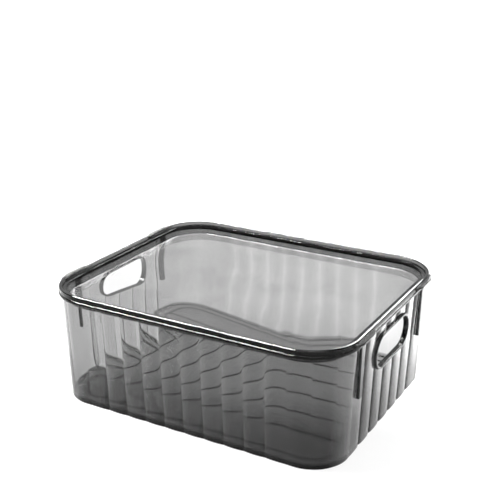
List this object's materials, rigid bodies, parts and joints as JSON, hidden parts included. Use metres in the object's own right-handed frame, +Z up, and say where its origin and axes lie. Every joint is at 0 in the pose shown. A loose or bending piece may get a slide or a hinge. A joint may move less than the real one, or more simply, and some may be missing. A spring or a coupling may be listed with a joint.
{
  "type": "fridge bin",
  "caption": "Clear smoke-grey fluted storage bin with framed finger slots in its end walls and a drop-in lid that lifts off.",
  "frame": {"origin": "on the surface that the bin stands on, below the middle of the bin", "axes": "+X along the bin's length towards one finger slot, +Y across it towards a long wall, +Z up"},
  "size_m": [0.3174, 0.2554, 0.117],
  "materials": {
    "smoke_clear_tub": "clear smoke-grey moulded plastic, high gloss",
    "smoke_clear_lid": "clear smoke-grey moulded plastic, high gloss"
  },
  "bodies": {
    "bin": {"bin_body": "smoke_clear_tub"},
    "lid": {"lid": "smoke_clear_lid"}
  },
  "joints": [
    {"name": "lid_lift", "type": "slide", "parent": "bin", "child": "lid", "axis": [0, 0, 1], "range_m": [0, 0.12]}
  ]
}
